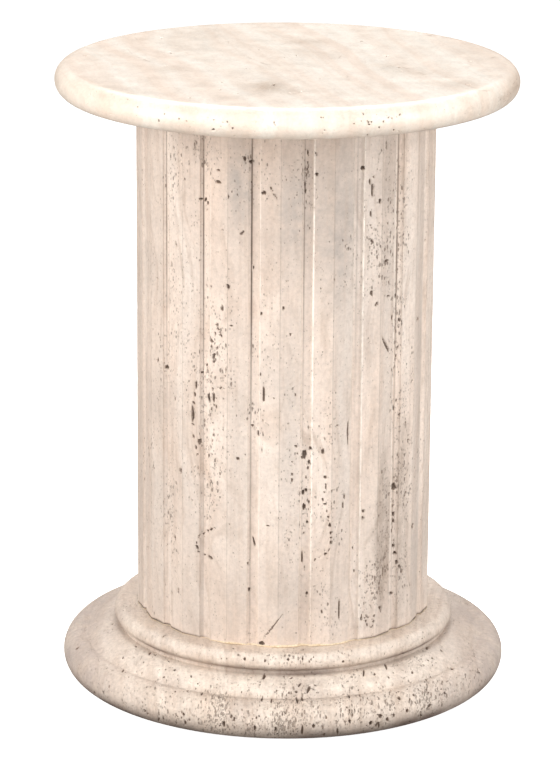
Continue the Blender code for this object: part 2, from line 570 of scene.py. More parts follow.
class Nodes:
    """The node tree of one material, with the kinds of node that the finishes are made of."""

    def __init__(self, name: str) -> None:
        """Start a node material, whose patterns lie on the object's own coordinates."""
        self.material = bpy.data.materials.new(name)
        self.material.use_nodes = True
        self.tree = self.material.node_tree
        self.shader = self.tree.nodes["Principled BSDF"]
        self.add = partial(add_node, self.tree)
        self.place = self.add("TexCoord").outputs["Object"]

    def maths(self, operation: str, first: Any, second: Any, clamp: bool = False) -> Socket:
        """Join two values by an operation."""
        return self.add("Math", {0: first, 1: second}, operation=operation, use_clamp=clamp).outputs[0]

    def times(self, first: Any, second: Any, clamp: bool = False) -> Socket:
        """Multiply two values."""
        return self.maths("MULTIPLY", first, second, clamp)

    def plus(self, first: Any, second: Any, clamp: bool = False) -> Socket:
        """Add two values."""
        return self.maths("ADD", first, second, clamp)

    def minus(self, first: Any, second: Any) -> Socket:
        """Subtract the second value from the first."""
        return self.maths("SUBTRACT", first, second)

    def ranged(self, value: Any, low: float, high: float, to_low: float = 0.0, to_high: float = 1.0) -> Socket:
        """Map a value from one range to another, held at the ends."""
        return self.add("MapRange", {"Value": value, "From Min": low, "From Max": high,
                                     "To Min": to_low, "To Max": to_high}).outputs["Result"]

    def noise(self, size_mm: float, detail: float, rough: float = 0.5, vector: Any = None) -> Socket:
        """Noise whose grains are about size_mm wide."""
        vector = self.place if vector is None else vector
        return self.add("TexNoise", {"Vector": vector, "Scale": 0.5 / (size_mm * MM), "Detail": detail,
                                     "Roughness": rough}).outputs["Fac"]

    def mixed(self, share: Any, first: Any, second: Any, way: str = "MIX") -> Socket:
        """Mix two colours by a share."""
        return self.add("Mix", {0: share, 6: first, 7: second}, data_type="RGBA", blend_type=way).outputs[2]

    def stretched(self, scale: tuple[float, float, float]) -> Socket:
        """The object's coordinates multiplied by a scale: marks get longer where it is small."""
        return self.add("Mapping", {"Vector": self.place, "Scale": scale}).outputs[0]

    def bump(self, height: Any, depth_mm: float) -> Socket:
        """Fine relief of a depth in mm."""
        return self.add("Bump", {"Height": height, "Distance": depth_mm * MM, "Strength": 1.0}).outputs[0]

    def finish(self, inputs: dict[str, Any]) -> Finish:
        """Give the shader its inputs, and give the material."""
        feed(self.tree, self.shader, inputs)
        return self.material


# Sizes in mm of the marks that are alike in every travertine
DRIFT_MM, MOTTLE_MM, GRAIN_MM, GRIT_MM = 45.0, 9.0, 0.9, 1.9
FRECKLE_MM, VEIN_MM, STAIN_MM, FIELD_MM = 2.0, 3.0, 3.5, 14.0
DRIFT = 0.010                           # metres that the layers wander by
ALONG = (0.05, 0.02)                    # how fast the layers change along themselves, up and across
LINE_SHARE = 0.22                       # thickness of the thin lines, in layers
MEAN_TONE = 0.97
SPECK_SIZE = 0.48                       # radius of the largest speck, in spacings
SPECK_EDGE = 7.0                        # larger: firmer edges
PORE_COVER = 0.86                       # how much of the stone's colour a pore hides
STONE_IOR = 1.5


@dataclass(frozen=True)
class Travertine:
    """Travertine, a banded limestone from hot springs, sawn and rubbed.

    Cream layers with warmer and greyer ones between them, cloudy, dull, with open pores that the eye
    reads as dark brown specks drawn out along the layers.
    """

    name: str
    pale: str                           # sRGB hex of the lightest layers
    warm: str                           # of the warmer ones
    deep: str                           # of the thin darker lines between layers
    grey: str                           # of grey clouds, and of the painted shade on the foot's sides
    stain: str                          # of brown, mineral-stained stone
    grime: str                          # of stone darkened by painted shade in flutes, recesses and low down, with some dust
    clean: str                          # of painted highlights on arrises and painted light on the front of the foot
    pore: str                           # of the walls of pores and pits
    roughness: float
    layer_mm: float                     # thickness of a layer
    cloud_mm: float                     # size of a cloud
    pore_mm: float                      # spacing of the fine pores
    pore_share: float                   # how much of the stone has fine pores where it is dense
    pore_stretch: tuple[float, float, float]    # the pores are longer along a direction with a small number
    line_strength: float
    cloud_strength: float
    streak_stretch: tuple[float, float, float]  # the same for the veins
    streak_strength: float
    freckle_strength: float = 0.30
    grit_strength: float = 0.12         # how far the fine grit lightens and darkens the stone
    pore_strength: float = 0.75         # how dark the fine pores are, of 1 for the pits
    bump_mm: float = 0.40
    open_pores: bool = True             # or filled, but for those in stained stone

    def build(self) -> Finish:
        """Make the material: layers, clouds, grain, stains, painted shade and painted light, fine pores and pits,
        in that order.
        """
        nodes = Nodes(self.name)
        times, plus, ranged, noise = nodes.times, nodes.plus, nodes.ranged, nodes.noise
        marks = {key: nodes.add("Attribute", attribute_name=key).outputs["Fac"] for key in ATTRIBUTES}
        streaks, veined = nodes.stretched(self.pore_stretch), nodes.stretched(self.streak_stretch)
        mottle, grain, grit = noise(MOTTLE_MM, 4.0, 0.6), noise(GRAIN_MM, 3.0, 0.75), noise(GRIT_MM, 3.0, 0.7)
        ruffle = nodes.minus(grain, 0.5)

        # Cream and warmer layers, then what lies in and on them, each coat over those before it
        parts = nodes.add("SeparateXYZ", {0: nodes.place}).outputs
        depth = plus(marks["layer"], times(noise(DRIFT_MM, 2.0), DRIFT))
        across = nodes.add("CombineXYZ", {0: depth, 1: times(parts[2], ALONG[0]),
                                          2: times(parts[0], ALONG[1])}).outputs[0]
        lines = ranged(noise(self.layer_mm * LINE_SHARE, 3.0, 0.6, across), 0.52, 0.70)
        clouds = ranged(noise(self.cloud_mm, 4.0, 0.55), 0.40, 0.68)
        freckles = ranged(noise(FRECKLE_MM, 4.0, 0.75, streaks), 0.52, 0.70)
        veins = ranged(noise(VEIN_MM, 5.0, 0.65, veined), 0.50, 0.72)
        coats = (
            (ranged(noise(self.layer_mm, 2.0, 0.5, across), 0.36, 0.66), self.warm),
            (times(lines, self.line_strength), self.deep),
            (times(clouds, self.cloud_strength), self.grey),
            (times(freckles, self.freckle_strength), self.deep),
            (times(marks["grey"], ranged(mottle, 0.30, 0.62, 0.25, 1.0), True), self.grey),
            (times(veins, self.streak_strength), self.deep),
            (times(marks["stain"], ranged(noise(STAIN_MM, 4.0, 0.7, streaks), 0.24, 0.54), True), self.stain),
            # Painted shade with some dust, then painted highlights and light, from the mesh's fields
            (times(marks["grime"], ranged(mottle, 0.30, 0.60, 0.75, 1.0), True), self.grime),
            (times(marks["clean"], ranged(mottle, 0.36, 0.58, 0.30, 0.95), True), self.clean))
        colour = linear(self.pale)
        for share, coat in coats:
            colour = nodes.mixed(share, colour, linear(coat))
        tone = ranged(plus(times(grit, 0.6), times(mottle, 0.4)), 0.32, 0.68,
                      MEAN_TONE - self.grit_strength, MEAN_TONE + self.grit_strength)
        toned = nodes.add("CombineXYZ", {0: tone, 1: tone, 2: tone}).outputs[0]
        colour = nodes.mixed(1.0, colour, toned, "MULTIPLY")

        # Fine pores where the stone is porous or stained, and the walls of the pits
        field_share = times(ranged(noise(FIELD_MM, 2.0, 0.5, streaks), 0.36, 0.64, 0.15, 1.0), self.pore_share)
        porous = times(plus(marks["porous"], times(marks["stain"], 0.8)), field_share)

        def specks(spacing_mm: float, start: float) -> Socket:
            """Specks at random points, more and larger where the stone is porous."""
            scale = 1.0 / (spacing_mm * MM)
            cells = nodes.add("TexVoronoi", {"Vector": streaks, "Scale": scale, "Randomness": 1.0})
            draw = nodes.add("SeparateXYZ", {0: cells.outputs["Color"]}).outputs[0]
            size = ranged(plus(draw, porous), start, start + 0.28, 0.0, SPECK_SIZE)
            wavy = plus(cells.outputs["Distance"], times(ruffle, 0.60))
            return times(nodes.minus(size, wavy), SPECK_EDGE, True)

        pores = nodes.maths("MAXIMUM", specks(self.pore_mm, 0.91), times(specks(self.pore_mm / 2, 0.84), 0.70))
        ragged = plus(marks["pit"], times(ruffle, 1.3))
        hollows = times(ranged(ragged, 0.22, 0.70), ranged(marks["pit"], 0.04, 0.16))
        left_open = self.pore_strength
        if not self.open_pores:
            left_open = plus(times(marks["stain"], 1.4), 0.16, True)
        dark = nodes.maths("MAXIMUM", times(pores, left_open), hollows)
        colour = nodes.mixed(times(dark, PORE_COVER), colour, linear(self.pore))

        # Pores are duller than the rubbed stone round them, and lie lower
        rough = ranged(mottle, 0.3, 0.7, self.roughness - 0.05, self.roughness + 0.06)
        relief = plus(plus(times(grain, 0.30), times(mottle, 0.5)), times(grit, 0.45))
        relief = nodes.minus(nodes.minus(relief, times(pores, 1.6)), times(lines, 0.10))
        return nodes.finish({"Base Color": colour, "Roughness": plus(rough, times(dark, 0.25), True),
                             "Normal": nodes.bump(relief, self.bump_mm), "IOR": STONE_IOR})


@dataclass(frozen=True)
class Grout:
    """Cement-bound stone filler, pressed into the joint: yellowish, dull and gritty."""

    name: str = "yellowish_joint_filler"
    pale: str = "EBDCC2"
    dark: str = "CDB798"
    grit_mm: float = 0.9
    patch_mm: float = 8.0
    roughness: float = 0.85
    bump_mm: float = 0.4

    def build(self) -> Finish:
        """Make the material: two tones in gritty patches with a fine relief."""
        nodes = Nodes(self.name)
        grit, patches = nodes.noise(self.grit_mm, 3.0), nodes.noise(self.patch_mm, 3.0)
        share = nodes.ranged(nodes.plus(grit, patches), 0.8, 1.25)
        return nodes.finish({"Base Color": nodes.mixed(share, linear(self.pale), linear(self.dark)),
                             "Roughness": self.roughness, "Normal": nodes.bump(grit, self.bump_mm),
                             "IOR": STONE_IOR})


@dataclass(frozen=True)
class MattWhite:
    """Matt white studio floor, lit from all round, with a trace of unevenness.

    It looks brighter than what it gives back to the stone, as a white floor does that is lit apart.
    """

    name: str = "matt_white_floor"
    colour: str = "FAFAF9"
    clouds: str = "F4F4F3"
    cloud_mm: float = 250.0
    roughness: float = 0.9
    own_light: float = 0.92
    bounce: str = "92908E"

    def build(self) -> Finish:
        """Make the material: white with very faint, wide clouds, and a darker tone for its bounce."""
        nodes = Nodes(self.name)
        colour = nodes.mixed(nodes.noise(self.cloud_mm, 2.0), linear(self.colour), linear(self.clouds))
        given_back = nodes.add("BsdfDiffuse", {"Color": linear(self.bounce)}).outputs[0]
        seen = nodes.add("LightPath").outputs["Is Camera Ray"]
        both = nodes.add("MixShader", {0: seen, 1: given_back, 2: nodes.shader.outputs[0]})
        feed(nodes.tree, nodes.tree.nodes["Material Output"], {"Surface": both.outputs[0]})
        return nodes.finish({"Base Color": colour, "Roughness": self.roughness, "Emission Color": colour,
                             "Emission Strength": self.own_light})


TOP_FINISH = Travertine(
    name="honed_filled_travertine", pale="FFF6EA", warm="F6E2D1", deep="DCC3AE", grey="D6C0AA",
    stain="9C8068", grime="8C7A6C", clean="FFF9F2", pore="7A6655", roughness=0.36, layer_mm=13.0,
    cloud_mm=14.0, pore_mm=3.0, pore_share=0.40, pore_stretch=(1.0, 0.3, 1.0), line_strength=0.20,
    cloud_strength=0.20, streak_stretch=(1.0, 0.4, 1.0), streak_strength=0.16, freckle_strength=0.28,
    grit_strength=0.09, bump_mm=0.06, open_pores=False)
SHAFT_FINISH = Travertine(
    name="vein_cut_travertine", pale="F3E5D9", warm="EAD7C8", deep="C0A895", grey="B4AAA2",
    stain="968272", grime="6E5C4F", clean="FFF6EC", pore="6B594B", roughness=0.60, layer_mm=9.0,
    cloud_mm=40.0, pore_mm=2.6, pore_share=0.58, pore_stretch=(1.0, 1.0, 0.5), line_strength=0.45,
    cloud_strength=0.28, streak_stretch=(1.0, 1.0, 0.05), streak_strength=0.30)
FOOT_FINISH = Travertine(
    name="cross_cut_travertine", pale="ECDED0", warm="DECCBC", deep="B49D8B", grey="ADA09A",
    stain="948070", grime="74635A", clean="F6EBDF", pore="786556", roughness=0.58, layer_mm=12.0,
    cloud_mm=26.0, pore_mm=2.2, pore_share=0.50, pore_stretch=(1.0, 0.42, 0.42), line_strength=0.32,
    cloud_strength=0.32, streak_stretch=(1.0, 0.25, 0.25), streak_strength=0.32, freckle_strength=0.50,
    grit_strength=0.17, pore_strength=0.70, bump_mm=0.85)


# The stones


def dense_line(corners: Sequence[Array]) -> tuple[Array, Array]:
    """Join curves into one profile.

    Args:
        corners: curves as arrays of (scale or radius, height), each starting where the last ends.

    Returns:
        The points, and the distance along the profile to each, in metres.
    """
    line = np.vstack([corners[0], *(part[1:] for part in corners[1:])])
    return line, np.concatenate([[0.0], np.cumsum(np.hypot(*np.diff(line, axis=0).T))])


def arc(centre: tuple[float, float], radii: tuple[float, float], start: float, end: float) -> Array:
    """Points on an ellipse: centre + (a cos t, b sin t), t from start to end in degrees."""
    t = np.radians(np.linspace(start, end, 160))
    return np.column_stack([centre[0] + radii[0] * np.cos(t), centre[1] + radii[1] * np.sin(t)])


def circle_plan(cells: int) -> Array:
    """Unit circle as (sin t, -cos t) at every fine column."""
    t = refined(np.linspace(0.0, math.tau, cells + 1))[:-1]
    return np.column_stack([np.sin(t), -np.cos(t)])


def porous_field(skin: StoneSkin, seed: int, least: float, layers: float, clouds: float) -> None:
    """Lay down where the stone is porous: in some layers, and in clouds.

    Args:
        skin: the skin that takes the field "porous".
        seed: seed of the layers and clouds.
        least: what every place has.
        layers: how much the most porous layers add.
        clouds: how much the clouds add.
    """
    rng = np.random.default_rng(seed)
    layer = skin.fields["layer"]
    stops = np.arange(layer.min() - 0.01, layer.max() + 0.02, 0.009)
    beds = np.interp(layer, stops, np.clip(rng.normal(0.0, 0.7, stops.size), 0.0, 1.6))
    cloud = np.clip(Ripples(seed + 1, 0.11).at(skin.base) * 0.6, 0.0, 1.5)
    skin.fields["porous"] += least + layers * beds + clouds * cloud


@dataclass
class RoundTop:
    """The slab: a flat round of stone whose whole edge is a half round."""

    diameter: float = 0.459
    thickness: float = 0.030
    bottom: float = 0.600152
    hub: float = 0.002                  # radius round the axis where the rows end in a pole
    columns: int = 360
    face_cells: int = 52
    edge_cells: int = 22
    under_cells: int = 16
    pits: tuple[Pit, ...] = made(Pit, (
        (-97.7, 201.8, 5, 3, 0), (-6.7, 110.8, 7, 3, 0), (59.5, 200.8, 7, 3.2, 20), (93.8, 181.4, 5, 2.6, 0),
        (1.1, 150, 6, 3.4, 0, 0.7), (5.3, 140.6, 5, 3, 0, 0.6), (-12.7, 241.5, 2.7, 2.2),
        (-14, 235.5, 2.2, 1.1), (-13.6, 238, 1.9, 1.1), (-31.5, 241, 3.7, 1.3), (-30, 233.5, 1.5, 1.1),
        (-26, 236.5, 1.8, 1), (-24, 238, 1.5, 1), (20, 236, 1.9, 1.3), (19.4, 238.4, 2.1, 1.7),
        (22, 242, 2.5, 1.8), (26, 246.5, 3, 1.7), (15.8, 236.8, 1.8, 1.3), (19.5, 250.5, 3.7, 1.5),
        (12.6, 237.5, 1.5, 1), (14.6, 241, 1.9, 1), (8, 229.4, 2.7, 1.3, -25), (27.4, 231.4, 3, 1.3, 30),
        (24.4, 233, 3, 1.1, 40), (23, 236.6, 2.2, 1.3), (27.4, 249, 2.2, 1.4), (-12.4, 251, 3.7, 1.3),
        (-42, 225, 2.2, 1.1, -50)))
    vein_depth: float = 0.12            # mm
    veins: tuple[tuple[float, ...], ...] = (    # brown hairlines: turn, place, length, width, lean, stain
        (-109.2, 168, 44, 1.6, 59, 0.26), (-98.8, 151, 20, 2.4, 54, 0.37), (-91.8, 139, 20, 3, 58, 0.5),
        (-73.2, 136, 22, 2.4, 21, 0.22), (-68.9, 113, 20, 2.4, 25, 0.25), (-119.4, 43, 16, 4, 36, 0.31),
        (-75, 24, 26, 4.5, 72, 0.37), (-3.3, 129, 30, 3, -23, 0.37), (-10.1, 111, 12, 6, -75, 0.31),
        (57.2, 209, 22, 2.4, 25, 0.43), (57.8, 223, 24, 2.6, -74, 0.43), (83.7, 103, 12, 3, 13, 0.5),
        (78.7, 118, 22, 4, 41, 0.43), (69.9, 138, 30, 4, 47, 0.31), (173.9, 108, 18, 4, 81, 0.37),
        (165.2, 119, 22, 3.5, 39, 0.34), (136, 208, 16, 5, -88, 0.43), (99.4, 207, 12, 3.4, -39, 0.43),
        (3.2, 148, 16, 3, 63, 0.46), (-150, 120, 30, 2.4, 30, 0.31), (120, 60, 26, 3, -50, 0.31),
        (-128, 196, 24, 2.6, 40, 0.31), (-40, 150, 20, 2.2, 50, 0.19), (40, 90, 18, 2.6, 40, 0.25))
    greys: tuple[Patch, ...] = made(Patch, (
        (-8.5, 122, 8, 30, 0.78), (1.5, 148, 4, 14, 0.27), (71, 122, 10, 26, 0.34), (84, 96, 8, 20, 0.27),
        (170, 112, 14, 14, 0.34), (-72, 121, 8, 16, 0.31), (-150, 165, 12, 40, 0.24), (58, 196, 6, 16, 0.34),
        (110, 190, 14, 30, 0.17), (-35, 60, 20, 30, 0.17), (-50, 205, 9, 12, 0.2), (-128, 120, 14, 35, 0.17),
        (150, 50, 30, 30, 0.2)))
    porous: tuple[Patch, ...] = made(Patch, (
        (20, 238, 10, 12, 0.5), (-20, 238, 14, 10, 0.35), (120, 238, 25, 12, 0.4), (-110, 238, 20, 12, 0.4),
        (185, 238, 14, 12, 0.4)))
    stains: tuple[Patch, ...] = made(Patch, (
        (66, 238, 9, 9, 0.40), (80, 232, 8, 7, 0.45), (50, 240, 6, 6, 0.25), (-95, 236, 10, 8, 0.30),
        (160, 238, 14, 8, 0.35)))

    def profile(self) -> tuple[Array, Array]:
        """Profile from the middle of the upper face, round the edge, to the middle of the underside."""
        half, radius = self.thickness / 2, self.diameter / 2
        flat = radius - half
        top, middle = self.bottom + self.thickness, self.bottom + half
        return dense_line([np.array([(self.hub, top), (flat, top)]), arc((flat, middle), (half, half), 90, -90),
                           np.array([(flat, self.bottom), (self.hub, self.bottom)])])

    def build(self) -> Piece:
        """Build and dress the slab."""
        line, run = self.profile()
        half = self.thickness / 2
        flat = self.diameter / 2 - half - self.hub
        edge = flat + math.pi * half
        rows = refined(joined_stops((0, flat, self.face_cells), (flat, edge, self.edge_cells),
                                    (edge, edge + flat, self.under_cells)))
        radius, height = (np.interp(rows, run, values) for values in line.T)
        skin = StoneSkin(circle_plan(self.columns), radius, height, rows / MM + self.hub / MM, Lie.LEANING,
                         seed=11, wave_rise=6.0, wave_size=0.22)
        rng = np.random.default_rng(311)
        porous_field(skin, seed=21, least=0.02, layers=0.05, clouds=0.08)
        skin.lay("porous", self.porous)
        skin.lay("grey", self.greys)
        skin.fields["stain"] += 0.50 * skin.fields["grey"]          # the grey clouds are partly brown
        skin.lay("stain", self.stains)
        skin.cut([Pit(*shape, self.vein_depth, stain) for *shape, stain in self.veins], rng)
        skin.cut(self.pits, rng)
        on_edge, on_face = (222.0, 256.0), (20.0, 214.0)
        skin.cut(skin.scattered(rng, tries=1200, rows=on_edge, width=(0.55, 0.95), stretch=1.2), rng)
        skin.cut(skin.scattered(rng, tries=260, rows=on_face, width=(1.2, 2.2), stretch=1.6), rng)
        return skin.build("top_slab", TOP_FINISH.build(), sharp=30)


@dataclass
class FlutedShaft:
    """The shaft: flat faces that meet in sharp edges, each with a narrow hollow flute."""

    diameter: float = 0.300             # over the edges
    height: float = 0.5275
    bottom: float = 0.072352
    faces: int = 18
    start_turn: float = -1.9            # degrees, of one of the edges
    flute_width: float = 0.012
    flute_depth: float = 0.003
    wall_power: float = 3.0             # larger: flatter floor of a flute
    side_power: float = 0.7             # smaller: steeper sides
    flute_stops: tuple[float, ...] = (  # shares of half the flute's width; close together where lines run
        -1.0, -0.95, -0.83, -0.667, -0.592, -0.533, -0.475, -0.30, -0.067, 0.0, 0.067, 0.33, 0.63, 0.83,
        0.95, 1.0)
    face_stops: tuple[float, ...] = (0.0, 0.04, 0.22, 0.5, 0.78, 0.95, 0.98, 1.0)  # from an edge to the flute
    cap_stops: tuple[float, ...] = (0.02, 0.35, 0.7, 0.9, 0.982)    # rows on the end faces, in radii
    cap_run: int = 20                   # mm that the end faces count for down the profile
    rows: int = 96
    top_band: float = 0.004             # height of the finer rows at the upper end
    low_band: float = 0.006             # and at the lower end
    nick_width: float = 0.0014          # how far from an edge the nicks reach
    dark_lines: tuple[tuple[float, float], ...] = (        # turn in degrees, strength of the painted shade in that flute
        (-53.2, 0.7), (-33.2, 0.85), (-13.14, 1.1), (6.86, 0.5), (28.1, 0.3), (48.1, 1.0), (68.1, 1.0))
    ridge_lines: tuple[tuple[float, float], ...] = (
        (-61.9, 0.8), (-41.9, 0.8), (-21.9, 0.9), (-1.9, 0.9), (18.1, 0.8), (38.1, 0.8))
    # Painted highlights on the flutes' arrises: turn in degrees, strength
    light_lines: tuple[tuple[float, float], ...] = (
        (-69.6, 0.5), (-49.6, 0.5), (-29.6, 0.5), (-9.6, 0.7), (10.45, 1.3), (30.45, 1.3), (45.75, 1.25),
        (65.75, 0.5))
    swells: tuple[Swell, ...] = made(Swell, (
        (-31, 312, 17, 62, 15), (12, 235, 24, 66, 17), (-27, 174, 14, 20, 9), (40, 185, 16, 60, 8),
        (-8, 470, 26, 60, 7), (150, 330, 26, 80, -16), (205, 210, 22, 60, -14), (178, 480, 20, 50, -12)))
    pits: tuple[Pit, ...] = made(Pit, (
        (-26, 540, 3.2, 6.4), (-26, 551, 2.2, 3.6), (-32.4, 520, 5, 2.4, 20), (-31.4, 517, 3, 2.6),
        (-34, 520, 2, 3.4), (-16.5, 492, 7, 2.2, 50), (-5.7, 537, 7, 2, -25), (-4.2, 530, 8, 2, -38),
        (-15.6, 565, 6, 2.6), (-13.6, 562, 3, 3), (-21.8, 438, 6, 3.6, -20), (-29.5, 435, 2, 3.6),
        (-21.8, 527, 4, 1.7), (-37.4, 303, 21, 3), (-34.4, 276, 7, 4.4), (-29.3, 381, 4.6, 6, 10),
        (-28, 324, 11, 2.6), (-35.8, 333, 10, 2.2, 5), (-28, 366, 8, 2.6, 12), (-29.6, 158.5, 2.8, 9),
        (-8, 332, 21, 2.3), (-9.2, 352, 4, 1.8), (-11.6, 180, 12, 2, -15), (-17.8, 265, 3.4, 3),
        (7.8, 271, 10, 4.8), (7.8, 217, 7, 4), (7.4, 232, 5.4, 3.2), (14.6, 274, 8, 2.6), (7.2, 165, 14, 2),
        (24.6, 290, 36, 1.3), (23.3, 222, 25, 1.3, 8), (31.8, 207, 3, 2.8), (31.8, 200, 4.4, 2.8),
        (33.8, 531, 14, 2.8), (33.4, 507, 8, 2.2), (41, 458, 3, 6), (42.3, 422, 2.6, 5), (39.8, 573, 10, 2.2),
        (37, 519, 5.4, 2.6), (41.4, 373, 23, 3, -32), (47.5, 305, 6, 3), (46.5, 316, 5, 2.6),
        (48.5, 223, 9, 7, -40), (61.5, 389, 3.8, 7), (60, 175, 6, 7.4), (67.5, 573, 7, 7), (68, 492, 5, 8),
        (9.2, 127, 3.4, 2.8), (-13.4, 130, 4.4, 2.2), (-4, 93, 42, 1.4, 35), (-8.2, 75.5, 4.4, 6.6),
        (21.8, 108, 25, 1.8), (31.8, 95, 9, 2.2), (48, 111, 3.4, 7), (40.5, 102, 4.2, 4.4),
        (-44.8, 115, 8, 2.2), (-43.2, 242, 6, 4), (-53, 342, 4, 5), (-12.4, 458, 4, 2), (-6, 198, 2.4, 2.6)))
    chains: tuple[Chain, ...] = made(Chain, (   # the line that each follows, count, width
        (((-26, 402), (-29, 375), (-31, 358), (-36, 335), (-37.5, 300), (-36.8, 278), (-34.5, 256), (-35, 246)),
          15),
        (((-27, 398), (-24.8, 388), (-26.5, 375), (-28, 360), (-30.5, 348), (-28.5, 335), (-27.5, 318),
          (-30.5, 305), (-28, 297), (-28, 283), (-29.5, 272), (-31, 260)), 20),
        (((-23, 360), (-22.4, 352), (-24, 340), (-27, 322)), 5, 1.6),
        (((-26.5, 192), (-29, 188), (-31.5, 184), (-34.5, 178), (-35.8, 169), (-34.5, 161), (-31.5, 158)), 9,
          2.6),
        (((10, 281), (9.5, 262), (8, 240), (9.6, 222), (9.5, 205), (8.8, 198)), 8, 2.4),
        (((15.5, 250), (16, 238), (14.5, 226), (16.2, 216), (17, 205), (17.8, 195), (18.2, 184), (18, 175),
          (16.5, 169), (14, 165), (11.5, 162)), 17, 2.5),
        (((33, 97), (34.4, 86), (36.6, 83), (37.4, 96)), 7, 1.8),
        (((33, 484), (34, 480), (33.2, 473)), 4, 2.2),
        (((44, 300), (46, 318), (47.5, 345), (50, 372)), 9, 2.0),
        (((5.6, 275), (2.6, 262), (3.4, 235)), 6, 1.6),
        (((-7.9, 320), (-8.2, 296), (-8.6, 270)), 5, 1.6),
        (((8, 575), (8, 560), (7, 540), (7.6, 522)), 7, 2.0),
        (((48, 205), (49, 190), (47.6, 175), (49, 160), (50.5, 142), (54, 128)), 10, 3.2)))
    porous: tuple[Patch, ...] = made(Patch, (
        (40, 500, 9, 80, 0.95), (53, 240, 5, 150, 0.8), (46, 400, 6, 60, 0.7), (-36, 560, 8, 25, 0.6),
        (-50, 400, 9, 190, 0.32), (-29, 330, 8, 85, 0.6), (12, 230, 9, 75, 0.5), (8, 560, 4, 30, 0.6),
        (-15, 560, 6, 20, 0.6), (36, 130, 6, 40, 0.5), (-50, 180, 7, 50, 0.4), (130, 400, 9, 150, 0.9),
        (165, 200, 14, 60, 0.7), (200, 420, 8, 90, 0.9), (-110, 250, 8, 160, 0.7), (95, 300, 6, 190, 0.7)))
    stains: tuple[Patch, ...] = made(Patch, (
        (41.2, 184, 3.8, 84, 0.48, 8.0), (41, 132, 3.6, 26, 0.14, 3.0), (52, 190, 4, 110, 0.35, 2.0),
        (36.2, 150, 2.2, 50, 0.15), (141, 420, 5, 90, 0.7, 2.0), (-128, 240, 5, 120, 0.6, 2.0),
        (205, 150, 6, 60, 0.5), (42, 545, 5, 45, 0.3)))
    greys: tuple[Patch, ...] = made(Patch, (
        (3, 512, 13, 60, 0.60), (20, 500, 11, 80, 0.75), (-17, 540, 6, 40, 0.85), (40, 500, 8, 70, 0.4),
        (50, 160, 8, 90, 0.15), (180, 250, 24, 90, 0.6), (-100, 480, 14, 70, 0.5), (110, 180, 12, 90, 0.5),
        (64, 330, 3, 200, 0.25), (2, 300, 3, 60, 0.3), (-18, 300, 3, 70, 0.25), (22, 300, 3, 60, 0.3)))

    def plan(self) -> Array:
        """Plan of the shaft at every fine column.

        On a face, at the distance t from its middle, the plan is at the face's distance from the axis,
        and in the flute behind it by depth * (1 - |t / half width|^wall_power)^side_power.

        Returns:
            x and y of each column, once round from the edge at the starting turn.
        """
        pitch = math.tau / self.faces
        edge = self.diameter / 2
        face = edge * math.cos(pitch / 2)
        half, flute = edge * math.sin(pitch / 2), self.flute_width / 2
        left = -half + (half - flute) * np.array(self.face_stops)
        hollow = flute * np.array(self.flute_stops)
        stops = np.concatenate([left[:-1], hollow, -left[-2::-1]])
        t = refined(stops)[:-1]
        room = np.maximum(0.0, 1.0 - np.abs(t / flute) ** self.wall_power)
        inward = self.flute_depth * room ** self.side_power
        middles = math.radians(self.start_turn) + (np.arange(self.faces) + 0.5) * pitch
        out, side = (face - inward)[None, :], t[None, :]
        sine, cosine = np.sin(middles)[:, None], np.cos(middles)[:, None]
        return np.column_stack([(out * sine + side * cosine).ravel(), (side * sine - out * cosine).ravel()])

    def wear(self, skin: StoneSkin) -> Array:
        """What wear takes off in mm: nicks along the edges, and a broken arris above the joint.

        A nick is 0.06 mm and more where the ripples rise; it ends at nick_width from the edge. The
        arris is broken up to 1.2 mm + 1.6 times its depth above the joint, but not in front.

        Args:
            skin: the shaft's skin.

        Returns:
            The depth at each row and column.
        """
        pitch = 360.0 / self.faces
        from_edge = np.abs((skin.turn - self.start_turn + pitch / 2) % pitch - pitch / 2)
        near = np.clip(1.0 - np.radians(from_edge) * self.diameter / 2 / self.nick_width, 0.0, 1.0)
        nicks = np.clip(Ripples(5, 0.022, 24).at(skin.base) - 1.1, 0.0, 1.2) * 0.8 + 0.06
        above = (skin.base[..., 2] - self.bottom) / MM
        sides = smooth_step((np.abs(wrapped(skin.turn + 8.0)) - 28.0) / 22.0)
        broken = np.clip(0.55 + 0.7 * Ripples(6, 0.030, 24).at(skin.base), 0.15, 2.0)
        taken = near * nicks + sides * broken * np.clip(1.0 - above / (1.2 + 1.6 * broken), 0.0, 1.0)
        on_end_face = skin.scale[:, None] < 0.9999
        return np.where(on_end_face, 0.0, taken)

    def smooth_skin(self) -> StoneSkin:
        """The shaft before dirt and wear, with rows on its end faces that shrink towards the axis."""
        top = self.bottom + self.height
        high, low = top - self.top_band, self.bottom + self.low_band
        caps = np.array(self.cap_stops)
        heights = joined_stops((top, high, 2), (high, low, self.rows), (low, self.bottom, 5))
        scale = refined(np.concatenate([caps, np.ones(heights.size), caps[::-1]]))
        height = refined(np.concatenate([np.full(caps.size, top), heights, np.full(caps.size, self.bottom)]))
        beyond = np.concatenate([np.linspace(self.cap_run, 0, FINE * caps.size),
                                 np.zeros(FINE * (heights.size - 1)),
                                 np.linspace(0, -self.cap_run, FINE * caps.size + 1)])
        return StoneSkin(self.plan(), scale, height, height / MM + beyond, Lie.FACING, self.swells,
                         seed=4, wave_rise=3.5)

    def soil(self, skin: StoneSkin) -> None:
        """Lay down stains, painted shade in the flutes and at the joint, painted highlights on the arrises and
        shades of grey.

        Args:
            skin: the shaft's skin.
        """
        skin.lay("stain", self.stains)
        skin.lay("grey", self.greys)
        # Painted shade in the flutes, darkest in their upper part under the slab, and thin darker lines on some
        # edges
        behind = [(turn - 1.14, 0.7) for turn in np.arange(88.1, 280.0, 20.0)]
        for turn, strength in (*self.dark_lines, *behind):
            skin.lay("grime", (Patch(turn, 500, 0.20, 125, 1.1 * strength, 1.5),
                               Patch(turn, 320, 0.18, 290, 0.50 * strength, 2.0)))
        for turn, strength in self.ridge_lines:
            skin.lay("grime", (Patch(turn, 340, 0.20, 270, 0.40 * strength, 2.0),))
